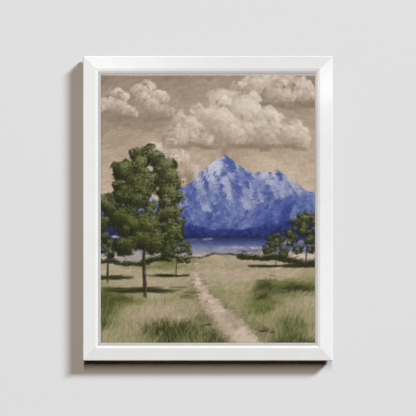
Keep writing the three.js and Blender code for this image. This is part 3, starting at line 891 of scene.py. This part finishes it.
def paint_tree(x, foot, height, spread, clumps, dab):
    for _ in range(40):
        shadow = mixed(dark_olive, olive, 0.5 * hand.random())
        shadow_x, shadow_h = x - 18 + spread * 0.3 * hand.normal(), foot - 1 + height * 0.012 * hand.normal()
        brush(shadow_x, shadow_h, spread * 0.4, 4.5, 0.05 * hand.normal(), shadow, load=0.7, cover=0.5)
    for part in range(12):
        level, thick = part / 12, 0.028 * height * (1 - 0.06 * part) + 0.8
        trunk_x, trunk_h = x + 0.012 * height * math.sin(4 * level + x), foot + height * 0.75 * level
        bark, lit = mixed(umber, dark_olive, 0.5 * hand.random()), 0.5 * (1 - level)
        brush(trunk_x, trunk_h, height * 0.16, thick, upright_stroke, bark, load=0.8)
        lit_x, sliver = trunk_x + thick * 0.3, thick * 0.35
        brush(lit_x, trunk_h, height * 0.1, sliver, upright_stroke, taupe, load=0.9, cover=lit)
    crown = []
    for _ in range(clumps):
        level, out = hand.beta(1.25, 1.35), hand.uniform(-1, 1)
        clump_x = x + 0.5 * spread * math.sin(math.pi * (0.13 + 0.82 * level)) ** 0.6 * out
        clump_h = foot + height * (0.30 + 0.67 * level - 0.05 * out * out)
        crown.append((level, clump_x, clump_h, spread * hand.uniform(0.06, 0.135)))
    paint_crown(x, crown, spread, dab)


def paint_bushes(first, last, radius, step):
    for x in np.arange(first, last, step):
        size, foot = radius * hand.uniform(0.55, 1.15), np.interp(x, across, shore_line)
        brush(x, foot + size * 0.3, size * 2.2, size * 1.2, 0.1 * hand.normal(), dark_olive, load=0.7)
        light = mixed(olive, mixed(grass, sage, 0.3), hand.random())
        dab = min(4.6, 2 + size / 3)
        heap(x, foot + size * 0.55, size, dark_olive, light, dab, dabs=int(16 + size * 3))


for bushes in ((-204, -60, 8, 6), (-60, 60, 3, 4), (60, 205, 9, 6)):
    paint_bushes(*bushes)
# Each tree: x and h of its foot, its height and spread, its number of clumps, and the length of a dab.
trees = (
    (182, -106, 104, 68, 48, 4.2), (126, -106, 60, 46, 34, 3.4), (-184, -128, 158, 90, 60, 4.6),
    (-116, -150, 268, 134, 110, 5.0), (-58, -124, 78, 52, 36, 3.6),
)
for one_tree in trees:
    paint_tree(*one_tree)
print("trees:", len(trees))

# %% [markdown]
# Blades of grass are long upright strokes of the colour under them, a little darker or paler. They keep off
# the path. A stone is a wide dark stroke for its shade on the ground and three strokes of itself, each
# lighter, smaller and nearer to the light.

# %% Grass and stones at the front
for _ in range(1900):
    x, h = hand.uniform(-204, 204), -256 + abs(hand.normal()) * 48
    if at(path, x, h) > 0.35 or h > -164:
        continue
    under = at(plan, x, h)
    pale = mixed(under, mixed(sage, sand, 0.5), 0.5)
    blade = under * hand.uniform(0.8, 1.0) if hand.random() < 0.6 else pale
    length, width = hand.uniform(12, 26) * (0.5 + (-110 - h) / 150), hand.uniform(2.0, 3.2)
    lean, bend = 1.5 + 0.35 * hand.normal(), 0.6 * hand.normal()
    brush(x, h, length, width, lean, blade, load=0.9, bend=bend, cover=0.85)
stone_tones = (0, 2.0, mixed(umber, deep_taupe, 0.5)), (0.2, 1.5, deep_taupe), (0.4, 0.9, taupe)
under_stone = mixed(dark_olive, umber, 0.5)
for x, h, radius in ((108, -222, 8), (122, -227, 5), (3, -212, 6), (-9, -216, 4), (-2, -172, 3)):
    shade_x, shade_h = x - 0.5 * radius, h - 0.7 * radius
    brush(shade_x, shade_h, 3.4 * radius, 0.7 * radius, 0, under_stone, load=0.5, cover=0.7)
    for lift, size, tone in stone_tones:
        size, lift = size * radius, lift * radius
        brush(x + lift, h + 0.7 * lift, size, 0.55 * size, 0.1, tone, bend=-0.3)
print("mean colour, 0 to 255:", [round(float(c) * 255) for c in colours.mean((0, 1))])

# %% [markdown]
# Along the top the strokes stop about 3 mm short of the frame, and the pale primer of the canvas shows.

# %% Leave the primer bare along the top
bare_strip = 3.1
strokes_end = frame_size.z / 2 - rail_width - bare_strip
bare = np.clip(all_h - strokes_end + 0.35 * rough(24, 9), 0, 1)
colours = mixed(colours, paint_colour("#BDB5AB"), bare)
thickness = thickness * (1 - bare)
print("bare primer on", round(100 * float(bare.mean()), 1), "% of the canvas")

# %% [markdown]
# ## The coat of paint
# The wet numbers become a skin of paint on the cloth. It is made as two pieces that meet at the water's far
# edge, each a fine grid. The thickness lifts its points by up to 0.7 mm, and less on the outer 3.7 mm, which
# the frame's edge presses on. The colour goes into an attribute of the mesh. The border is turned back to the
# cloth and closed.


# %% Read the wet paint at any place
def sampled(field, x, h):
    """The values of a field of the painting at many places, blended between its touches."""
    column = np.clip((x - across[0]) / touch, 0, len(across) - 1.001)
    row = np.clip((h - up[0]) / touch, 0, len(up) - 1.001)
    i, j = row.astype(int), column.astype(int)
    a, b = row - i, column - j
    if field.ndim == 3:
        a, b = a[:, None], b[:, None]
    left = field[i, j] * (1 - a) + field[i + 1, j] * a
    right = field[i, j + 1] * (1 - a) + field[i + 1, j + 1] * a
    return left * (1 - b) + right * b


mid_tone = sampled(colours, np.zeros(1), np.zeros(1))[0]
print("the middle of the canvas, 0 to 255:", [round(float(c) * 255) for c in mid_tone])


# %% Close and unfold the coat
def close_to_cloth():
    bpy.ops.mesh.select_all(action="SELECT")
    bpy.ops.mesh.region_to_loop()
    bpy.ops.mesh.extrude_edges_move(TRANSFORM_OT_translate={"value": (0, 0.2 * mm, 0)})
    bpy.ops.mesh.edge_face_add()


# The front takes this much of the map's height. Strips above it hold the borders and the back.
front_share, level_strip, upright_strip, back_strip, strip_step = 0.97, 0.976, 0.982, 0.99, 0.003


def lay_flat(piece, low, high):
    """Lays the front out flat for the bake, and the thin border and back in strips beside it."""
    layer = piece.data.uv_layers.new(name="OFBake")
    for face in piece.data.polygons:
        across_rim = abs(face.normal.z) > 0.95 and len(face.vertices) == 4
        rim_z = low[1] if face.normal.z < 0 else high[1]
        for loop in face.loop_indices:
            p = piece.data.vertices[piece.data.loops[loop].vertex_index].co / mm
            u, v = (p.x - low[0]) / (high[0] - low[0]), (p.z - low[1]) / (high[1] - low[1])
            rise = (p.y - front_y) / 1000
            if face.normal.y > 0.9:
                v = back_strip + (1 - back_strip) * v
            elif abs(face.normal.x) > 0.95:
                u, v = v, upright_strip + rise + (strip_step if face.normal.x > 0 else 0)
            elif across_rim and near(p.z, rim_z):
                v = level_strip + rise + (strip_step if face.normal.z > 0 else 0)
            else:
                v = v * front_share
            layer.data[loop].uv = (u, v)


print("the map's front takes", front_share, "of its height")


# %% Make the coat of paint
columns = 360
pressed, rising = 3.7, 1.45


def make_coat(name, bottom, top):
    rows = round(columns * (top - bottom) / (2 * half_width))
    coat = start_grid(name, 2 * half_width, top - bottom, columns, rows, z=middle_z + (bottom + top) / 2)
    close_to_cloth()
    bpy.ops.object.mode_set(mode="OBJECT")
    places = np.zeros(len(coat.data.vertices) * 3)
    coat.data.vertices.foreach_get("co", places)
    places = places.reshape(-1, 3) / mm
    x, h = places[:, 0], places[:, 2] - middle_z
    skin = places[:, 1] < front_y + 0.1
    inside = np.minimum(half_width - np.abs(x), half_height - np.abs(h))
    room = np.clip((inside - pressed) / rising, 0, 1)
    lift = 0.12 + 0.28 * room + sampled(thickness, x, h) * (0.06 + 0.40 * room)
    places[:, 1] = np.where(skin, front_y - lift, front_y)
    coat.data.vertices.foreach_set("co", (places * mm).ravel())
    paint = coat.data.color_attributes.new("paint", "FLOAT_COLOR", "POINT")
    colour = np.column_stack([linear(sampled(colours, x, h)), np.ones(len(x))])
    paint.data.foreach_set("color", colour.ravel())
    coat.data.update()
    lay_flat(coat, (-half_width, middle_z + bottom), (half_width, middle_z + top))
    smooth(coat, 60)
    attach(coat, "root")
    print(name, len(coat.data.polygons), "faces, up to", round(float(lift.max()), 2), "mm thick")
    return coat


sky_coat = make_coat("paint_of_the_sky", water_line, half_height)
land_coat = make_coat("paint_of_the_land", -half_height, water_line)
coats = [sky_coat, land_coat]

# %% [markdown]
# Oil paint dries to a soft sheen. The canvas under it shows as fine streaks, longer upright than across, and
# each streak takes the colour a little lighter or darker. Threads of 0.6 mm are too fine for the picture, so
# the streaks are drawn 2.4 mm apart.

# %% Oil paint
streak_spacing, streak_depth = 2.4 * mm, 0.08 * mm
oil_paint, tree, shader, place = start_material(
    "oil_paint_on_canvas", Roughness=0.62, Specular_IOR_Level=0.14)
painted = add(tree, "ShaderNodeAttribute", attribute_name="paint").outputs["Color"]
streaks = []
for stretch in ((1.0, 1.0, 0.38), (0.45, 1.0, 1.0)):
    drawn = add(tree, "ShaderNodeMapping", {"Vector": place, "Scale": stretch}).outputs[0]
    sockets = {"Vector": drawn, "Scale": 1 / streak_spacing, "Detail": 2.0}
    streaks.append(add(tree, "ShaderNodeTexNoise", sockets).outputs["Fac"])
both = add(tree, "ShaderNodeMath", {0: streaks[0], 1: streaks[1]}, operation="ADD").outputs[0]
tone = add(tree, "ShaderNodeMapRange", {0: both, 1: 0.7, 2: 1.3, 3: 0.90, 4: 1.10}, clamp=False).outputs[0]
colour = add(tree, "ShaderNodeVectorMath", {0: painted, 3: tone}, operation="SCALE").outputs[0]
bump = add(tree, "ShaderNodeBump", {"Height": both, "Distance": streak_depth}).outputs[0]
fill(tree, shader, {"Base Color": colour, "Normal": bump})
for coat in coats:
    coat.data.materials.append(oil_paint)
print("painted:", [coat.name for coat in coats])

# %% [markdown]
# ## Metal and rubber
# Staples and corner nails are galvanised wire, which looks dull and slightly mottled. The clips and their
# screws have a brighter zinc plate, with cloudy patches that are rougher and darker where hands and tools
# have rubbed it. The hanger is pressed from sheet steel, and it and its nails have a warm, satiny brass
# plate.


# %% Metal
plate_depth = 0.02 * mm


def make_metal(name, tone, dark, roughness, mottle_size):
    material, tree, shader, place = start_material(name, Metallic=1.0)
    sockets = {"Vector": place, "Scale": 1 / mottle_size, "Detail": 4.0}
    mottle = add(tree, "ShaderNodeTexNoise", sockets).outputs["Fac"]
    share = add(tree, "ShaderNodeMapRange", {0: mottle, 1: 0.35, 2: 0.7}).outputs[0]
    colour = add(tree, "ShaderNodeMix", {0: share, 6: tone, 7: dark}, data_type="RGBA").outputs[2]
    worn = add(tree, "ShaderNodeMapRange", {0: mottle, 3: roughness - 0.08, 4: roughness + 0.12}).outputs[0]
    bump = add(tree, "ShaderNodeBump", {"Height": mottle, "Distance": plate_depth}).outputs[0]
    fill(tree, shader, {"Base Color": colour, "Roughness": worn, "Normal": bump})
    return material


galvanised = make_metal("galvanised_steel_wire", "#C4C6C8", "#A3A6A8", roughness=0.45, mottle_size=1.5 * mm)
zinc_plate = make_metal("bright_zinc_plate", "#D2D2CE", "#B4B5B2", roughness=0.34, mottle_size=2.2 * mm)
brass_plate = make_metal("pressed_brass_plate", "#D9B66C", "#B9924C", roughness=0.32, mottle_size=2.5 * mm)
print("metals:", [metal.name for metal in (galvanised, zinc_plate, brass_plate)])

# %% [markdown]
# The buttons are soft pale polyurethane rubber. A little light gets into it, so its edges look milky, and its
# skin has faint specks.

# %% Rubber, and every finish on its pieces
speck_size, speck_depth = 1.8 * mm, 0.02 * mm
rubber, tree, shader, place = start_material(
    "pale_polyurethane_rubber", Roughness=0.45, Subsurface_Weight=0.25, Subsurface_Scale=2 * mm)
specks = add(tree, "ShaderNodeTexNoise", {"Vector": place, "Scale": 1 / speck_size, "Detail": 2.0}).outputs[0]
colour = add(tree, "ShaderNodeMix", {0: specks, 6: "#DEDCD4", 7: "#CFCCC2"}, data_type="RGBA").outputs[2]
bump = add(tree, "ShaderNodeBump", {"Height": specks, "Distance": speck_depth}).outputs[0]
fill(tree, shader, {"Base Color": colour, "Normal": bump})
finishes = {
    "staple_": galvanised, "corner_nail_": galvanised, "clip_": zinc_plate,
    "hanger": brass_plate, "bumper_": rubber,
}
for start, finish in finishes.items():
    dressed = [n for n in nodes if n.startswith(start)]
    for node in dressed:
        nodes[node].material_slots[0].material = finish
    print(finish.name, "on", len(dressed), "pieces")

# %% [markdown]
# ## Light on the rails and on the picture
# In the photograph each rail has its own tone, which shows the mitres: the top one glows at its left end, the
# right one near its top, and both upright ones are lighter than the bottom one. So each gets a small lamp
# that reaches only that rail. The distance of a lamp sets how fast its glow fades along the rail. One low
# lamp close to the picture shines up at the top rail's inner edge, which turns away from the other lights. No
# shadow of the moulding falls on the picture either, so the picture has lights of its own: twins of the two
# main ones, which the frame doesn't block.


# %% Lamps that reach chosen pieces only
def linked(name, pieces, state="INCLUDE"):
    group = bpy.data.collections.new(name)
    for piece in pieces:
        group.objects.link(piece)
    for entry in group.collection_objects:
        entry.light_linking.link_state = state
    return group


def add_rail_lamp(side, name, x, z, distance, energy):
    """A small lamp in front of the face, at a place and distance in millimetres, for one rail alone."""
    place = Vector((x, face_y - distance, z)) * mm - middle
    lamp = add_light("POINT", name, place, energy, plain_light, shadow_soft_size=4 * mm)
    lamp.light_linking.receiver_collection = linked(name + "_reaches", [rails[side]])
    lamp.visible_glossy = False
    return lamp


lamps = [
    add_rail_lamp("top", "top_rail_glow", x=-207, z=3, distance=155, energy=0.21),
    add_rail_lamp("top", "top_rail_underlight", x=60, z=-420, distance=6, energy=3.0),
    add_rail_lamp("right", "right_rail_glow", x=222, z=-34, distance=62, energy=0.036),
    add_rail_lamp("right", "right_rail_fill", x=222, z=-470, distance=330, energy=0.64),
    add_rail_lamp("left", "left_rail_fill", x=-222, z=-266, distance=1200, energy=3.5),
]
picture, all_but_picture = linked("picture", coats), linked("all_but_picture", coats, "EXCLUDE")
for lamp in (main_light, strip_light):
    lamp.light_linking.receiver_collection = all_but_picture
    twin = lamp.copy()
    twin.data = lamp.data.copy()
    twin.name = lamp.name + "_on_the_picture"
    bpy.context.scene.collection.objects.link(twin)
    twin.light_linking.receiver_collection = picture
    twin.light_linking.blocker_collection = picture
    lamps.append(twin)
print("lamps:", [lamp.name for lamp in lamps])
